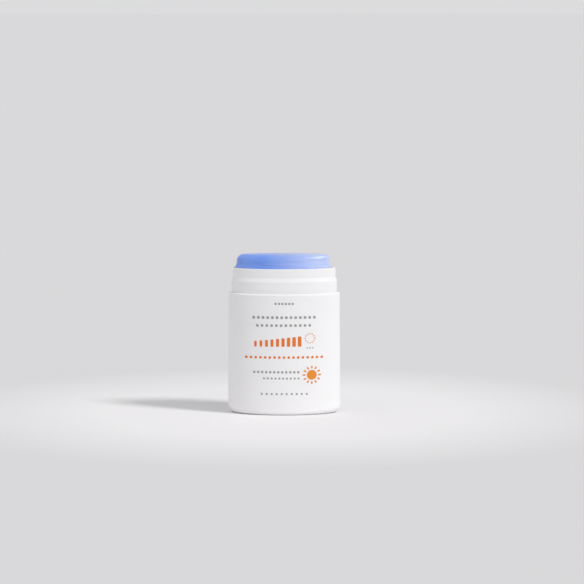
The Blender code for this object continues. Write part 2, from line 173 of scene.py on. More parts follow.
# Distances from the axis along X
FOOT_INNER = HALF_WIDTH - FOOT_FILLET - FOOT_FLAT
NECK = HALF_WIDTH - SLEEVE_DRAFT - NECK_LEDGE
UPPER_NECK = NECK - NECK_STEP
CAVITY = UPPER_NECK - RIM_WALL

# Heights
BARREL_SEAT = SHOULDER - LIP_DEPTH
SNAP_HEIGHT = SHOULDER - SNAP_DROP
FLOOR_BOTTOM = DIAL_TOP + FLOOR_GAP
FLOOR_TOP = FLOOR_BOTTOM + FLOOR_THICKNESS
RECESS_TOP = PLATE_TOP - PLATE_THICKNESS
FLANGE_BOTTOM = DIAL_TOP - FLANGE_THICKNESS

# Pads of ink. The shares place the rings of a pad's top face, from its edge to its middle
INK_RISE = 0.02 * MM
INK_ROOT = 0.03 * MM
PAD_POINTS = 24
PAD_CORNER_SHARE = 0.3
PAD_RING_SHARES = (1.0, 0.5, 0.05)

# Dotted rows. Each holds its left and right ends, its height, and the size and count of its dots
GREY_ROWS = (
    (-2.9 * MM, 2.9 * MM, 33.75 * MM, 0.70 * MM, 6),
    (-9.6 * MM, 9.5 * MM, 29.6 * MM, 0.88 * MM, 14),
    (-8.5 * MM, 8.1 * MM, 27.2 * MM, 0.84 * MM, 12),
    (6.7 * MM, 8.8 * MM, 20.4 * MM, 0.45 * MM, 3),
    (-9.4 * MM, 4.6 * MM, 13.1 * MM, 0.74 * MM, 12),
    (-6.4 * MM, 4.6 * MM, 11.2 * MM, 0.62 * MM, 10),
    (-7.1 * MM, 7.1 * MM, 6.5 * MM, 0.64 * MM, 10),
)
ORANGE_ROW = (-11.8 * MM, 11.7 * MM, 17.55 * MM, 0.80 * MM, 17)

# Bars that grow to the right
BARS_LEFT = -9.2 * MM
BARS_BOTTOM = 20.8 * MM
BAR_COUNT = 9
BAR_PITCH = 1.66 * MM
BAR_NARROW = 0.75 * MM
BAR_WIDE = 1.1 * MM
BAR_LOW = 1.7 * MM
BAR_TALL = 3.1 * MM

# Sun and ring of dots
SUN_X = 8.3 * MM
SUN_Z = 12.2 * MM
SUN_RADIUS = 1.5 * MM
SUN_RAYS = 12
RAY_MIDDLE = 2.35 * MM
RAY_LENGTH = 0.85 * MM
RAY_WIDTH = 0.48 * MM
DOTS_X = 7.75 * MM
DOTS_Z = 23.3 * MM
DOTS_RADIUS = 1.4 * MM
DOT_COUNT = 12
DOT_WIDTH = 0.45 * MM

# Moulded plastic
WHITE = (0.862, 0.855, 0.862)
WHITE_SHADE = (0.846, 0.840, 0.846)
WHITE_ROUGHNESS = 0.45
NATURAL = (0.78, 0.78, 0.77)
NATURAL_SHADE = (0.74, 0.74, 0.73)
NATURAL_ROUGHNESS = 0.42
PLASTIC_CLOUD = 6.0 * MM
PLASTIC_GLOSS = 2.5 * MM
PLASTIC_GLOSS_DRIFT = 0.04
PLASTIC_RIPPLE = 3.0 * MM
PLASTIC_RIPPLE_DEPTH = 0.012 * MM
PLASTIC_GRAIN = 0.16 * MM
PLASTIC_GRAIN_DEPTH = 0.004 * MM
PLASTIC_SCATTER = 0.8 * MM

# Blue wax, whose features are longer across than they are high
WAX = (0.158, 0.311, 0.838)
WAX_SHADE = (0.135, 0.278, 0.780)
# The next colour is painted highlight: a pale colour on the balm's right side that stands in for
# the key light's gloss
WAX_PAINTED_HIGHLIGHT = (0.50, 0.585, 0.87)
WAX_ROUGHNESS = (0.32, 0.46)
WAX_CLOUD = (5.0 * MM, 5.0 * MM, 2.0 * MM)
WAX_STREAK = (3.2 * MM, 3.2 * MM, 0.45 * MM)
WAX_STREAK_DEPTH = 0.030 * MM
WAX_FOLD = (9.0 * MM, 9.0 * MM, 1.0 * MM)
WAX_FOLD_SPAN = (0.50, 0.54)
WAX_FOLD_DEPTH = 0.040 * MM
WAX_PIT = 0.30 * MM
WAX_PIT_DEPTH = 0.010 * MM
WAX_SCATTER = 1.2 * MM
# Where the painted highlight starts and ends along X, and how far the streaks push its border
PAINTED_HIGHLIGHT_LEFT = -4.0 * MM
PAINTED_HIGHLIGHT_RIGHT = 15.5 * MM
PAINTED_HIGHLIGHT_DRIFT = 4.0 * MM

# Printing ink
GREY_INK = (0.33, 0.33, 0.34)
GREY_INK_SHADE = (0.30, 0.30, 0.31)
ORANGE_INK = (0.78, 0.18, 0.010)
ORANGE_INK_SHADE = (0.72, 0.15, 0.008)
AMBER_INK = (0.80, 0.26, 0.015)
AMBER_INK_SHADE = (0.74, 0.22, 0.010)
ROSE_INK = (0.76, 0.36, 0.24)
ROSE_INK_SHADE = (0.72, 0.33, 0.22)
INK_ROUGHNESS = (0.34, 0.46)
INK_COVER = 0.5 * MM
INK_GRAIN = 0.12 * MM
INK_GRAIN_DEPTH = 0.003 * MM

# Rubber of the seal
RUBBER = (0.16, 0.16, 0.17)
RUBBER_SHADE = (0.10, 0.10, 0.11)
RUBBER_ROUGHNESS = (0.62, 0.78)
RUBBER_DUST = 0.8 * MM
RUBBER_GRAIN = 0.1 * MM
RUBBER_GRAIN_DEPTH = 0.006 * MM

# The span that most of a noise lies in, and the places of the Mix node's colour sockets
NOISE_SPAN = (0.3, 0.7)
MIX_FIRST = 6
MIX_SECOND = 7
MIX_RESULT = 2

# Camera
CAMERA_LENS = 180.0
CAMERA_PLACE = (2.34 * MM, -879.3 * MM, 123.8 * MM)
CAMERA_PITCH = math.radians(5.67)

# Lamps. A strength of pi, square on, shows a colour as it is written
SIDE_TURN = math.radians(-30)
SIDE_RISE = math.radians(45)
SIDE_SPREAD = math.radians(12)
SIDE_STRENGTH = 0.52 * math.pi
FRONT_TURN = math.radians(-58)
FRONT_RISE = math.radians(12)
FRONT_SPREAD = math.radians(40)
FRONT_STRENGTH = 0.145 * math.pi
LEFT_TURN = math.radians(-180)
LEFT_RISE = math.radians(35)
LEFT_SPREAD = math.radians(90)
LEFT_STRENGTH = 0.165 * math.pi

# Room, backdrop and floor
AMBIENT_COLOUR = (0.992, 0.992, 1.0)
AMBIENT_STRENGTH = 0.48
BACKDROP_COLOUR = (0.715, 0.715, 0.725)
FLOOR_RADIUS = 30.0
FLOOR_DROP = 0.02 * MM
FLOOR_NEAR = (0.858, 0.846, 0.856)
FLOOR_FAR = (0.715, 0.708, 0.718)
FLOOR_NEAR_REACH = 55 * MM
FLOOR_FAR_REACH = 110 * MM
FLOOR_SEGMENTS = 96


def sleeve_inside(height):
    """The sleeve's inner wall, which leans in with its draft."""
    return HALF_WIDTH - SLEEVE_WALL - SLEEVE_DRAFT * height / SHOULDER


def barrel_outside(height):
    """The barrel's outer wall inside the sleeve."""
    return sleeve_inside(height) - SHELL_GAP


def smooth_step(low, high, value):
    """A share that eases from 0 at the low value to 1 at the high one."""
    share = min(max((value - low) / (high - low), 0.0), 1.0)
    return share * share * (3 - 2 * share)


def oval(across, turn):
    """A point of the stick's oval, drawn in evenly from the sleeve's."""
    return across * math.cos(turn), (across - SQUEEZE) * math.sin(turn)


def foot_oval(across, turn):
    """The sleeve's oval at its foot, whose rounding reaches in less far in front."""
    share = (across - FOOT_INNER) / (HALF_WIDTH - FOOT_INNER)
    front = math.sin(turn) ** 2
    tightness = FOOT_TIGHTNESS + (FOOT_FRONT_TIGHTNESS - FOOT_TIGHTNESS) * front
    return oval(FOOT_INNER + (HALF_WIDTH - FOOT_INNER) * share ** tightness, turn)


def circle(across, turn):
    return across * math.cos(turn), across * math.sin(turn)


def fluted(across, turn):
    """A circle with soft grooves cut into it."""
    wave = math.sin(turn * FLUTE_COUNT / 2)
    cut_share = math.hypot(wave, FLUTE_SOFTNESS) - FLUTE_SOFTNESS
    return circle(across - FLUTE_DEPTH * cut_share, turn)


def square(across, turn):
    return circle(across / max(abs(math.cos(turn)), abs(math.sin(turn))), turn)


def rounded(corners):
    """Points of a closed outline. Each corner holds (across, height, rounding, shape)."""
    points = []
    for index, (across, height, rounding, shape) in enumerate(corners):
        if not rounding:
            points.append((across, height, shape))
            continue
        corner = Vector((across, height))
        before = (Vector(corners[index - 1][:2]) - corner).normalized()
        after = (Vector(corners[(index + 1) % len(corners)][:2]) - corner).normalized()
        half = before.angle(after) / 2
        centre = corner + (before + after).normalized() * rounding / math.sin(half)
        start = (corner + before * rounding / math.tan(half) - centre).normalized()
        end = (corner + after * rounding / math.tan(half) - centre).normalized()
        for step in range(CORNER_STEPS + 1):
            point = centre + rounding * start.slerp(end, step / CORNER_STEPS)
            points.append((point.x, point.y, shape))
    return points


def ring_of(builder, across, height, shape):
    """A level ring of points on the given shape."""
    ring = []
    for step in range(SEGMENTS):
        x, y = shape(across, math.tau * step / SEGMENTS)
        ring.append(builder.verts.new((x, y, height)))
    return ring


def skin(builder, rings, closed):
    """Faces between rings. The last joins the first where closed, else both are filled."""
    pairs = list(zip(rings, rings[1:]))
    if closed:
        pairs.append((rings[-1], rings[0]))
    else:
        builder.faces.new(rings[0])
        builder.faces.new(rings[-1])
    for lower, upper in pairs:
        for step in range(len(lower)):
            after = (step + 1) % len(lower)
            builder.faces.new((lower[step], lower[after], upper[after], upper[step]))


def new_piece(builder, name, material):
    """The built mesh as an object, smooth but for its sharp edges."""
    bmesh.ops.recalc_face_normals(builder, faces=builder.faces)
    mesh = bpy.data.meshes.new(name)
    builder.to_mesh(mesh)
    builder.free()
    mesh.materials.append(material)
    mesh.shade_smooth()
    mesh.set_sharp_from_angle(angle=SHARP_ANGLE)
    piece = bpy.data.objects.new(name, mesh)
    bpy.context.scene.collection.objects.link(piece)
    return piece


def cut(piece, cutter):
    """Takes the cutter's shape out of the piece, and removes the cutter."""
    boolean = piece.modifiers.new("cut", "BOOLEAN")
    boolean.operation = "DIFFERENCE"
    boolean.solver = "EXACT"
    boolean.object = cutter
    seen = bpy.context.evaluated_depsgraph_get()
    result = bpy.data.meshes.new_from_object(piece.evaluated_get(seen))
    piece.modifiers.remove(boolean)
    piece.data = result
    result.shade_smooth()
    result.set_sharp_from_angle(angle=SHARP_ANGLE)
    bpy.data.objects.remove(cutter)


def place(piece, body, slot, *replaced):
    """Names the body that the piece rides on and hides the nodes that it stands for. The slot is
    not used.
    """
    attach(piece, body)
    if replaced:
        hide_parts(*replaced)


def even_shading(piece):
    """Keeps broad faces flat up to their small rounded edges."""
    weigh = piece.modifiers.new("even_shading", "WEIGHTED_NORMAL")
    weigh.keep_sharp = True


def lofted(name, corners, material, closed=True, warp=None):
    """A solid through the rings of an outline with rounded corners."""
    builder = bmesh.new()
    rings = [ring_of(builder, *point) for point in rounded(corners)]
    skin(builder, rings, closed)
    if warp:
        for vert in builder.verts:
            warp(vert.co)
    return new_piece(builder, name, material)


class Material:
    """A node material whose textures read the object's own coordinates."""

    def __init__(self, name):
        self.material = bpy.data.materials.new(name)
        self.material.use_nodes = True
        self.tree = self.material.node_tree
        self.shader = self.tree.nodes["Principled BSDF"]
        self.coordinates = self.node("ShaderNodeTexCoord").outputs["Object"]

    def node(self, kind, **settings):
        made = self.tree.nodes.new(kind)
        for key, value in settings.items():
            setattr(made, key, value)
        return made

    def join(self, source, target):
        self.tree.links.new(source, target)

    def feed(self, source, name):
        """Joins a value to a socket of the shader."""
        self.join(source, self.shader.inputs[name])

    def set(self, **values):
        """Sets even values on the shader's own sockets."""
        for key, value in values.items():
            self.shader.inputs[key.replace("_", " ")].default_value = value

    def noise(self, sizes, detail=3.0, rough=0.5):
        """Noise with features of the given sizes along X, Y and Z."""
        mapping = self.node("ShaderNodeMapping")
        mapping.inputs["Scale"].default_value = [1 / size for size in sizes]
        self.join(self.coordinates, mapping.inputs["Vector"])
        made = self.node("ShaderNodeTexNoise")
        made.inputs["Scale"].default_value = 1.0
        made.inputs["Detail"].default_value = detail
        made.inputs["Roughness"].default_value = rough
        self.join(mapping.outputs["Vector"], made.inputs["Vector"])
        return made.outputs["Fac"]

    def grain(self, size, detail=3.0, rough=0.5):
        """Noise with features of one size."""
        return self.noise((size, size, size), detail, rough)

    def ranged(self, source, low=0.0, high=1.0, span=NOISE_SPAN):
        """A value stretched from the given span to low and high, and held between them."""
        made = self.node("ShaderNodeMapRange")
        made.inputs["From Min"].default_value = span[0]
        made.inputs["From Max"].default_value = span[1]
        made.inputs["To Min"].default_value = low
        made.inputs["To Max"].default_value = high
        self.join(source, made.inputs["Value"])
        return made.outputs["Result"]

    def mix(self, factor, first, second):
        """A blend of two colours, each written out or made by another node."""
        made = self.node("ShaderNodeMix", data_type="RGBA")
        self.join(factor, made.inputs["Factor"])
        for value, socket in ((first, made.inputs[MIX_FIRST]), (second, made.inputs[MIX_SECOND])):
            if isinstance(value, bpy.types.NodeSocket):
                self.join(value, socket)
            else:
                socket.default_value = (*value, 1.0)
        return made.outputs[MIX_RESULT]

    def bump(self, height, distance, under=None):
        """A bumped surface, over another where one is given."""
        made = self.node("ShaderNodeBump")
        made.inputs["Distance"].default_value = distance
        self.join(height, made.inputs["Height"])
        if under is not None:
            self.join(under, made.inputs["Normal"])
        return made.outputs["Normal"]


def moulded_plastic(name, colour, shade, roughness):
    """Satin moulded plastic: faint clouding, uneven gloss and a fine eroded grain."""
    made = Material(name)
    cloud = made.ranged(made.grain(PLASTIC_CLOUD, detail=4.0))
    made.feed(made.mix(cloud, shade, colour), "Base Color")
    gloss = made.grain(PLASTIC_GLOSS, detail=5.0)
    smoothest = roughness - PLASTIC_GLOSS_DRIFT
    roughest = roughness + PLASTIC_GLOSS_DRIFT
    made.feed(made.ranged(gloss, smoothest, roughest), "Roughness")
    ripple = made.bump(made.grain(PLASTIC_RIPPLE, detail=1.0), PLASTIC_RIPPLE_DEPTH)
    texture = made.grain(PLASTIC_GRAIN, rough=0.65)
    made.feed(made.bump(texture, PLASTIC_GRAIN_DEPTH, under=ripple), "Normal")
    made.set(IOR=1.46, Specular_IOR_Level=0.4)
    made.set(Subsurface_Weight=0.08, Subsurface_Scale=PLASTIC_SCATTER)
    made.set(Subsurface_Radius=(1.0, 1.0, 1.0))
    return made.material


def painted_highlight_cover(made, streak):
    """How far the painted highlight covers the wax, pale towards the right where the key light
    falls, with streaked borders.
    """
    across = made.node("ShaderNodeSeparateXYZ")
    made.join(made.coordinates, across.inputs["Vector"])
    drift = made.node("ShaderNodeMath", operation="MULTIPLY_ADD")
    value, multiplier, addend = drift.inputs
    made.join(streak, value)
    multiplier.default_value = PAINTED_HIGHLIGHT_DRIFT
    made.join(across.outputs["X"], addend)
    return made.ranged(drift.outputs["Value"], span=(PAINTED_HIGHLIGHT_LEFT, PAINTED_HIGHLIGHT_RIGHT))


def blue_wax(name):
    """The balm: soft and streaked, with creases and fine pits, and a painted highlight that turns
    it pale to the right.
    """
    made = Material(name)
    cloud = made.ranged(made.noise(WAX_CLOUD, detail=4.0))
    body = made.mix(cloud, WAX_SHADE, WAX)
    streak = made.noise(WAX_STREAK, detail=4.0, rough=0.6)
    # Base colour grows pale towards +X: painted highlight from the light at the right, not a
    # colour of the wax
    made.feed(made.mix(painted_highlight_cover(made, streak), body, WAX_PAINTED_HIGHLIGHT), "Base Color")
    made.feed(made.ranged(streak, *WAX_ROUGHNESS), "Roughness")
    dragged = made.bump(streak, WAX_STREAK_DEPTH)
    fold = made.ranged(made.noise(WAX_FOLD, detail=2.0), span=WAX_FOLD_SPAN)
    creased = made.bump(fold, WAX_FOLD_DEPTH, under=dragged)
    made.feed(made.bump(made.grain(WAX_PIT), WAX_PIT_DEPTH, under=creased), "Normal")
    made.set(IOR=1.47, Specular_IOR_Level=0.6, Coat_Weight=0.8, Coat_Roughness=0.4)
    made.set(Subsurface_Weight=0.25, Subsurface_Scale=WAX_SCATTER)
    made.set(Subsurface_Radius=(0.5, 0.7, 1.0))
    return made.material


def printing_ink(name, colour, shade):
    """Printed ink: thin, a little glossier than the plastic, with uneven cover."""
    made = Material(name)
    cover = made.grain(INK_COVER, detail=4.0, rough=0.6)
    made.feed(made.mix(made.ranged(cover), shade, colour), "Base Color")
    made.feed(made.ranged(cover, *INK_ROUGHNESS), "Roughness")
    made.feed(made.bump(made.grain(INK_GRAIN), INK_GRAIN_DEPTH), "Normal")
    return made.material


def seal_rubber(name):
    """Dark matt rubber, a little dusty."""
    made = Material(name)
    dust = made.grain(RUBBER_DUST, detail=4.0)
    made.feed(made.mix(made.ranged(dust), RUBBER_SHADE, RUBBER), "Base Color")
    made.feed(made.ranged(dust, *RUBBER_ROUGHNESS), "Roughness")
    made.feed(made.bump(made.grain(RUBBER_GRAIN), RUBBER_GRAIN_DEPTH), "Normal")
    return made.material


def warp_foot(point):
    """Makes the foot's rounding lower in front and behind than at its ends."""
    if point.z < FOOT_FILLET + FINE_EDGE:
        front = (point.y / HALF_DEPTH) ** 2
        point.z *= 1 - (1 - FOOT_FRONT_SHARE) * front


def make_sleeve(material):
    """The printed shell, with its rounded foot, its ledge and the snap groove inside."""
    lip = NECK - NECK_WAIST + LIP_GAP
    inside = sleeve_inside(SNAP_HEIGHT)
    groove = inside + SNAP_BITE
    flat = SNAP_FLAT / 2
    corners = [
        (HALF_WIDTH, 0.0, FOOT_FILLET, foot_oval),
        (HALF_WIDTH - SLEEVE_DRAFT, SHOULDER, SHOULDER_ROUND, oval),
        (lip, SHOULDER, SOFT_EDGE, oval),
        (lip, BARREL_SEAT, FINE_EDGE, oval),
        (sleeve_inside(BARREL_SEAT), BARREL_SEAT, FINE_EDGE, oval),
        (inside, SNAP_HEIGHT + flat + SNAP_SLOPE, FINE_EDGE, oval),
        (groove, SNAP_HEIGHT + flat, FINE_EDGE, oval),
        (groove, SNAP_HEIGHT - flat, FINE_EDGE, oval),
        (inside, SNAP_HEIGHT - flat - SNAP_SLOPE, FINE_EDGE, oval),
        (HALF_WIDTH - SLEEVE_WALL, SLEEVE_WALL, FOOT_FILLET - SLEEVE_WALL, oval),
        (FOOT_INNER, SLEEVE_WALL, FINE_EDGE, oval),
        (FOOT_INNER, 0.0, SOFT_EDGE, oval),
    ]
    sleeve = lofted("sleeve_shell", corners, material, warp=warp_foot)
    even_shading(sleeve)
    place(sleeve, "housing", "shell", "outer_sleeve")


def make_barrel(material):
    """Neck with its waist, bead and ramp, rim, cavity, floor and the screw's boss."""
    outside = barrel_outside(SNAP_HEIGHT)
    ridge = outside + SNAP_BITE
    flat = SNAP_FLAT / 2
    seat = BARREL_SEAT + SEAT_GAP
    ramp_top = RIM - UPPER_BAND
    ramp_bottom = ramp_top - RAMP_HEIGHT
    skirt = barrel_outside(SKIRT_BOTTOM)
    pocket_top = FLOOR_BOTTOM + COLLAR_POCKET_DEPTH
    boss_top = FLOOR_TOP + BOSS_RISE
    corners = [
        (skirt, SKIRT_BOTTOM, SOFT_EDGE, oval),
        (outside, SNAP_HEIGHT - flat - SNAP_SLOPE, FINE_EDGE, oval),
        (ridge, SNAP_HEIGHT - flat, FINE_EDGE, oval),
        (ridge, SNAP_HEIGHT + flat, FINE_EDGE, oval),
        (outside, SNAP_HEIGHT + flat + SNAP_SLOPE, FINE_EDGE, oval),
        (barrel_outside(BARREL_SEAT), seat, FINE_EDGE, oval),
        (NECK - NECK_WAIST, seat, FINE_EDGE, oval),
        (NECK - NECK_WAIST, SHOULDER, SOFT_EDGE, oval),
        (NECK, SHOULDER + NECK_WAIST_HEIGHT, SOFT_EDGE, oval),
        (NECK, ramp_bottom - BEAD_HEIGHT, FINE_EDGE, oval),
        (NECK + BEAD_RISE, ramp_bottom - BEAD_HEIGHT / 2, SOFT_EDGE, oval),
        (NECK, ramp_bottom, BROAD_EDGE, oval),
        (UPPER_NECK, ramp_top, BROAD_EDGE, oval),
        (UPPER_NECK, RIM, RIM_ROUND, oval),
        (CAVITY, RIM, RIM_ROUND, oval),
        (CAVITY, FLOOR_TOP, BROAD_EDGE, oval),
        (BOSS_RADIUS, FLOOR_TOP, SOFT_EDGE, circle),
        (BOSS_RADIUS, boss_top, SOFT_EDGE, circle),
        (SHAFT_HOLE_RADIUS, boss_top, FINE_EDGE, circle),
        (SHAFT_HOLE_RADIUS, pocket_top, FINE_EDGE, circle),
        (COLLAR_POCKET_RADIUS, pocket_top, FINE_EDGE, circle),
        (COLLAR_POCKET_RADIUS, FLOOR_BOTTOM, FINE_EDGE, circle),
        (skirt - SKIRT_WALL, FLOOR_BOTTOM, SOFT_EDGE, oval),
        (skirt - SKIRT_WALL, SKIRT_BOTTOM, SOFT_EDGE, oval),
    ]
    barrel = lofted("neck_barrel", corners, material)
    even_shading(barrel)
    place(barrel, "housing", "barrel", "inner_barrel")


def make_plate(material):
    """The plate that lines the finger recess, with the hole for the knob."""
    rest = barrel_outside(PLATE_TOP)
    rim = HALF_WIDTH - FOOT_FILLET
    corners = [
        (FOOT_INNER, RECESS_TOP, SOFT_EDGE, oval),
        (FOOT_INNER, PLATE_BOTTOM, FINE_EDGE, oval),
        (rim, PLATE_BOTTOM, FINE_EDGE, oval),
        (rim, PLATE_TOP - PLATE_FLANGE, FINE_EDGE, oval),
        (rest, PLATE_TOP - PLATE_FLANGE, FINE_EDGE, oval),
        (rest, PLATE_TOP, FINE_EDGE, oval),
        (KNOB_HOLE_RADIUS, PLATE_TOP, SOFT_EDGE, circle),
        (KNOB_HOLE_RADIUS, RECESS_TOP, SOFT_EDGE, circle),
    ]
    plate = lofted("recess_plate", corners, material)
    even_shading(plate)
    place(plate, "housing", "base", "base_plate")


def pocket_levels():
    """How far a finger pocket widens at each height, from its mouth to its rounded end."""
    pocket_top = KNOB_BOTTOM + GRIP_DEPTH
    levels = [
        (SOFT_EDGE, KNOB_BOTTOM - SOFT_EDGE),
        (SOFT_EDGE, KNOB_BOTTOM),
        (0.0, KNOB_BOTTOM + SOFT_EDGE),
    ]
    for step in range(CORNER_STEPS + 1):
        turn = math.pi / 2 * step / CORNER_STEPS
        grow = -BROAD_EDGE * (1 - math.cos(turn))
        levels.append((grow, pocket_top - BROAD_EDGE * (1 - math.sin(turn))))
    return levels


def grip_cutter():
    """The two half-round finger pockets in the knob, on either side of its bar."""
    builder = bmesh.new()
    for side in (-1, 1):
        rings = []
        for grow, height in pocket_levels():
            radius = GRIP_RADIUS + grow
            start = math.asin((GRIP_BAR_WIDTH / 2 - grow) / radius)
            ring = []
            for step in range(POCKET_SEGMENTS + 1):
                turn = start + (math.pi - 2 * start) * step / POCKET_SEGMENTS
                x, y = circle(radius, turn)
                ring.append(builder.verts.new((x, side * y, height)))
            rings.append(ring)
        skin(builder, rings, closed=False)
    return new_piece(builder, "grip_cutter", None)


def make_dial(material):
    """The fluted knob with two finger pockets, its flange and the screw's socket."""
    socket = SOCKET_SIDE / 2
    socket_bottom = SCREW_BOTTOM - SEAT_GAP
    corners = [
        (POLE, KNOB_BOTTOM, 0.0, circle),
        (KNOB_RADIUS, KNOB_BOTTOM, BROAD_EDGE, fluted),
        (KNOB_RADIUS, FLANGE_BOTTOM, FINE_EDGE, fluted),
        (DIAL_FLANGE, FLANGE_BOTTOM, SOFT_EDGE, circle),
        (DIAL_FLANGE, DIAL_TOP, SOFT_EDGE, circle),
        (socket, DIAL_TOP, FINE_EDGE, square),
        (socket, socket_bottom, 0.0, square),
        (POLE, socket_bottom, 0.0, circle),
    ]
    dial = lofted("dial_knob", corners, material, closed=False)
    cut(dial, grip_cutter())
    even_shading(dial)
    place(dial, "drive", "dial", "dial")


def peg_cutter():
    """The pockets for the platform's pegs, in rows before and behind the hub."""
    builder = bmesh.new()
    bottom = BALM_BOTTOM - SEAT_GAP
    top = BALM_BOTTOM + PEG_POCKET_DEPTH
    for column in range(PEG_COLUMNS):
        across = PEG_FIRST + PEG_SPACING * column
        reach = math.sqrt(1 - (across / COLUMN) ** 2)
        deep = (COLUMN - SQUEEZE) * reach * PEG_ROW_SHARE
        for side in (-1, 1):
            for row in (-1, 1):
                peg = bmesh.ops.create_cone(
                    builder,
                    cap_ends=True,
                    segments=PEG_SEGMENTS,
                    radius1=PEG_POCKET_RADIUS,
                    radius2=PEG_POCKET_RADIUS,
                    depth=top - bottom,
                )["verts"]
                middle = (side * across, row * deep, (bottom + top) / 2)
                bmesh.ops.translate(builder, vec=middle, verts=peg)
    return new_piece(builder, "peg_cutter", None)


def hollow_rings(builder):
    """The hollows under the balm: the screw's bore and the pocket for the platform's hub."""
    hub_top = PLATFORM_TOP + SEAT_GAP
    bore_top = SCREW_TOP + BORE_END_ROOM
    return [
        ring_of(builder, POLE, bore_top, circle),
        ring_of(builder, SCREW_BORE_RADIUS, bore_top, circle),
        ring_of(builder, SCREW_BORE_RADIUS, hub_top, circle),
        ring_of(builder, HUB_POCKET_RADIUS, hub_top, circle),
        ring_of(builder, HUB_POCKET_RADIUS, BALM_BOTTOM, circle),
    ]


def wall_rings(builder):
    """The balm's wall in the barrel, with close rings under the rim, where it bends."""
    rings = [ring_of(builder, COLUMN, BALM_BOTTOM, oval)]
    for step in range(WALL_STEPS):
        drop = SHIFT_START + (FINE_EDGE - SHIFT_START) * step / (WALL_STEPS - 1)
        rings.append(ring_of(builder, COLUMN, RIM - drop, oval))
    return rings


def shoulder_ring(builder, across, height, rise):
    """A ring of the dome's shoulder, which is roundest in front and tightest to the right."""
    ring = []
    for step in range(SEGMENTS):
        turn = math.tau * step / SEGMENTS
        end_round = DOME_RIGHT_ROUND if math.cos(turn) > 0 else DOME_LEFT_ROUND
        rounding = end_round + (DOME_FRONT_ROUND - end_round) * math.sin(turn) ** 2
        x, y = oval(across - rounding * (1 - math.cos(rise)), turn)
        ring.append(builder.verts.new((x, y, height - rounding * (1 - math.sin(rise)))))
    return ring


def crown_ring(builder, edge, share):
    """A ring of the crown, the given share of the way from its edge to the middle."""
    ring = []
    for vert in edge:
        height = BALM_TOP - DOME_CROWN * (1 - share) ** 2
        ring.append(builder.verts.new((*(vert.co.xy * (1 - share)), height)))
    return ring


def dome_rings(builder):
    """The dome over the rim: its leaning wall, its shoulder and its crown."""
    base = COLUMN - DOME_BASE
    top = COLUMN - DOME_LEAN
    base_height = RIM + SMEAR_CLEARANCE
    crown_edge = BALM_TOP - DOME_CROWN
    wall_top = crown_edge - DOME_FRONT_ROUND
    rings = []
    for step in range(WALL_STEPS):
        share = step / WALL_STEPS
        across = base + (top - base) * share
        height = base_height + (wall_top - base_height) * share
        rings.append(ring_of(builder, across, height, oval))
    for step in range(ROUND_STEPS + 1):
        rise = math.pi / 2 * step / ROUND_STEPS
        rings.append(shoulder_ring(builder, top, crown_edge, rise))
    edge = rings[-1]
    for step in range(1, CROWN_STEPS):
        rings.append(crown_ring(builder, edge, step / CROWN_STEPS))
    return rings


def warp_balm(point):
    """Leans the dome left, wears its right end down and smears its left end on the rim."""
    across = point.x / COLUMN
    if across > 0:
        shift = DOME_SHIFT_RIGHT * smooth_step(RIM - SHIFT_START, RIM - SHIFT_END, point.z)
    else:
        shift = DOME_SHIFT_LEFT * smooth_step(RIM - FINE_EDGE, RIM + SMEAR_CLEARANCE, point.z)
    point.x -= shift * across * across
    if point.z <= RIM:
        return
    height = (point.z - RIM) / (BALM_TOP - RIM)
    point.z -= DOME_WORN * smooth_step(WORN_START_SHARE, WORN_END_SHARE, across) * height
    if across < 0:
        smear = 1 - smooth_step(RIM, RIM + SMEAR_RISE, point.z)
        point.x -= SMEAR_REACH * across * across * smear
    along = Vector((point.x / DRAG_LENGTH, point.y / DRAG_LENGTH, point.z / DRAG_HEIGHT)) / MM
    point.y *= 1 + DRAG_DEPTH_SHARE * noise.noise(along) * height


def make_balm(material):
    """The moulded stick of balm, open below for the platform's hub and the screw."""
    builder = bmesh.new()
    rings = hollow_rings(builder) + wall_rings(builder) + dome_rings(builder)
    skin(builder, rings, closed=False)
    for vert in builder.verts:
        warp_balm(vert.co)
    balm = new_piece(builder, "balm_stick", material)
    cut(balm, peg_cutter())
    place(balm, "carrier", "balm", "balm")


def on_front(x, z, rise):
    """The point of the sleeve's front at X and Z, raised by the given amount."""
    across = HALF_WIDTH - SLEEVE_DRAFT * z / SHOULDER
    slope = math.sqrt(1 - (x / across) ** 2)
    return x, -(across - SQUEEZE) * slope - rise, z


def pad_outline(width, height, rounding, turn):
    """Points of a rectangle with rounded corners, turned about its middle."""
    lean = Matrix.Rotation(turn, 2)
    outline = []
    for step in range(PAD_POINTS):
        angle = math.tau * (step + 0.5) / PAD_POINTS
        across = math.copysign(width / 2 - rounding, math.cos(angle))
        up = math.copysign(height / 2 - rounding, math.sin(angle))
        across += rounding * math.cos(angle)
        up += rounding * math.sin(angle)
        outline.append(lean @ Vector((across, up)))
    return outline


def ink_pad(builder, x, z, width, height, rounding, turn=0.0):
    """A thin pad of ink that follows the wall, with its root inside it."""
    outline = pad_outline(width, height, rounding, turn)
    levels = [(1.0, -INK_ROOT)]
    for share in PAD_RING_SHARES:
        levels.append((share, INK_RISE))
    rings = []
    for share, rise in levels:
        ring = []
        for offset in outline:
            point = on_front(x + share * offset.x, z + share * offset.y, rise)
            ring.append(builder.verts.new(point))
        rings.append(ring)
    skin(builder, rings, closed=False)


def dot_row(builder, left, right, height, size, count):
    """A row of round dots, evenly spaced between its two ends."""
    for index in range(count):
        x = left + size / 2 + (right - left - size) * index / (count - 1)
        ink_pad(builder, x, height, size, size, size / 2)


def grey_print(builder):
    for row in GREY_ROWS:
        dot_row(builder, *row)


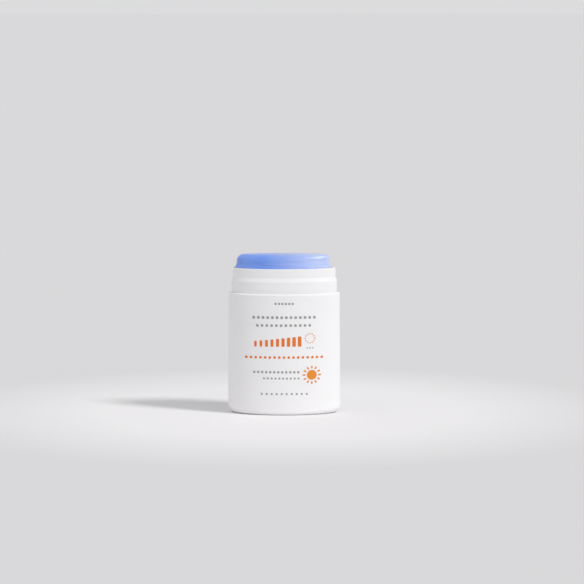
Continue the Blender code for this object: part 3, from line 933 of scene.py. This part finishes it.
def growing_bars(builder):
    """Rounded bars on one line, each wider and taller than the one before."""
    for index in range(BAR_COUNT):
        share = index / (BAR_COUNT - 1)
        width = BAR_NARROW + (BAR_WIDE - BAR_NARROW) * share
        height = BAR_LOW + (BAR_TALL - BAR_LOW) * share
        x = BARS_LEFT + BAR_WIDE / 2 + BAR_PITCH * index
        ink_pad(builder, x, BARS_BOTTOM + height / 2, width, height, PAD_CORNER_SHARE * width)


def orange_print(builder):
    dot_row(builder, *ORANGE_ROW)
    growing_bars(builder)


def sun(builder):
    """A round sun with short rays."""
    ink_pad(builder, SUN_X, SUN_Z, 2 * SUN_RADIUS, 2 * SUN_RADIUS, SUN_RADIUS)
    for index in range(SUN_RAYS):
        turn = math.tau * index / SUN_RAYS
        x, z = circle(RAY_MIDDLE, turn)
        rounding = PAD_CORNER_SHARE * RAY_WIDTH
        ink_pad(builder, SUN_X + x, SUN_Z + z, RAY_LENGTH, RAY_WIDTH, rounding, turn)


def ring_of_dots(builder):
    for index in range(DOT_COUNT):
        x, z = circle(DOTS_RADIUS, math.tau * index / DOT_COUNT)
        ink_pad(builder, DOTS_X + x, DOTS_Z + z, DOT_WIDTH, DOT_WIDTH, DOT_WIDTH / 2)


def print_piece(name, material, slot, draw):
    """A printed mesh on the sleeve's front, drawn by the given function."""
    builder = bmesh.new()
    draw(builder)
    place(new_piece(builder, name, material), "housing", slot)


def make_print(grey, orange, amber, rose):
    """The print on the front: dotted rows, growing bars, a sun and a ring of dots."""
    print_piece("print_grey", grey, "print_grey", grey_print)
    print_piece("print_orange", orange, "print_orange", orange_print)
    print_piece("print_amber", amber, "print_orange", sun)
    print_piece("print_rose", rose, "print_orange", ring_of_dots)


def make_camera():
    camera = bpy.data.objects.new("camera", bpy.data.cameras.new("camera"))
    camera.data.lens = CAMERA_LENS
    camera.data.clip_end = 2 * FLOOR_RADIUS
    camera.location = CAMERA_PLACE
    camera.rotation_euler = (math.pi / 2 - CAMERA_PITCH, 0.0, 0.0)
    bpy.context.scene.collection.objects.link(camera)
    bpy.context.scene.camera = camera


def soft_light(name, turn, rise, spread, strength):
    """A soft light from far off. A turn of 0 puts it on +X, and -90 degrees in front."""
    light = bpy.data.objects.new(name, bpy.data.lights.new(name, "SUN"))
    light.data.energy = strength
    light.data.angle = spread
    x, y = circle(math.cos(rise), turn)
    light.rotation_euler = Vector((x, y, math.sin(rise))).to_track_quat("Z", "Y").to_euler()
    bpy.context.scene.collection.objects.link(light)


def make_lights():
    """A key from the right, and fill from in front and from the left."""
    soft_light("side_light", SIDE_TURN, SIDE_RISE, SIDE_SPREAD, SIDE_STRENGTH)
    soft_light("front_light", FRONT_TURN, FRONT_RISE, FRONT_SPREAD, FRONT_STRENGTH)
    soft_light("left_light", LEFT_TURN, LEFT_RISE, LEFT_SPREAD, LEFT_STRENGTH)


def make_world():
    """An even, slightly cool room, which the camera and reflections see as a plain backdrop."""
    world = bpy.data.worlds.new("studio")
    world.use_nodes = True
    tree = world.node_tree
    room = tree.nodes["Background"]
    room.inputs["Color"].default_value = (*AMBIENT_COLOUR, 1.0)
    room.inputs["Strength"].default_value = AMBIENT_STRENGTH
    backdrop = tree.nodes.new("ShaderNodeBackground")
    backdrop.inputs["Color"].default_value = (*BACKDROP_COLOUR, 1.0)
    path = tree.nodes.new("ShaderNodeLightPath")
    seen = path.outputs["Is Camera Ray"]
    for name in ("Is Glossy Ray", "Is Transmission Ray"):
        either = tree.nodes.new("ShaderNodeMath")
        either.operation = "MAXIMUM"
        tree.links.new(seen, either.inputs[0])
        tree.links.new(path.outputs[name], either.inputs[1])
        seen = either.outputs["Value"]
    mix = tree.nodes.new("ShaderNodeMixShader")
    tree.links.new(seen, mix.inputs["Fac"])
    tree.links.new(room.outputs["Background"], mix.inputs[1])
    tree.links.new(backdrop.outputs["Background"], mix.inputs[2])
    tree.links.new(mix.outputs["Shader"], tree.nodes["World Output"].inputs["Surface"])
    bpy.context.scene.world = world


def floor_paint():
    """Matt paint that is a little brighter round the stick."""
    made = Material("floor_paint")
    distance = made.node("ShaderNodeVectorMath", operation="LENGTH")
    made.join(made.coordinates, distance.inputs[0])
    fade = made.ranged(distance.outputs["Value"], span=(FLOOR_NEAR_REACH, FLOOR_FAR_REACH))
    made.feed(made.mix(fade, FLOOR_NEAR, FLOOR_FAR), "Base Color")
    made.set(Roughness=1.0, Specular_IOR_Level=0.0)
    return made.material


def make_floor():
    """A plain pale floor, a hair below the foot."""
    builder = bmesh.new()
    bmesh.ops.create_circle(builder, cap_ends=True, segments=FLOOR_SEGMENTS, radius=FLOOR_RADIUS)
    mesh = bpy.data.meshes.new("floor")
    builder.to_mesh(mesh)
    builder.free()
    mesh.materials.append(floor_paint())
    floor = bpy.data.objects.new("floor", mesh)
    floor.location.z = -FLOOR_DROP
    bpy.context.scene.collection.objects.link(floor)


def dress_node(name, material):
    """Gives its material to a CAD node that no piece replaces."""
    for material_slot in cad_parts[name].material_slots:
        material_slot.material = material


make_camera()
make_lights()
make_world()
make_floor()

white = moulded_plastic("white_plastic", WHITE, WHITE_SHADE, WHITE_ROUGHNESS)
natural = moulded_plastic("natural_plastic", NATURAL, NATURAL_SHADE, NATURAL_ROUGHNESS)
make_sleeve(white)
make_barrel(white)
make_plate(white)
make_dial(white)
make_balm(blue_wax("blue_wax"))
make_print(
    printing_ink("grey_ink", GREY_INK, GREY_INK_SHADE),
    printing_ink("orange_ink", ORANGE_INK, ORANGE_INK_SHADE),
    printing_ink("amber_ink", AMBER_INK, AMBER_INK_SHADE),
    printing_ink("rose_ink", ROSE_INK, ROSE_INK_SHADE),
)
dress_node("lead_screw", natural)
dress_node("platform", natural)
dress_node("seal_ring", seal_rubber("seal_rubber"))

bpy.context.scene.view_settings.view_transform = "Standard"
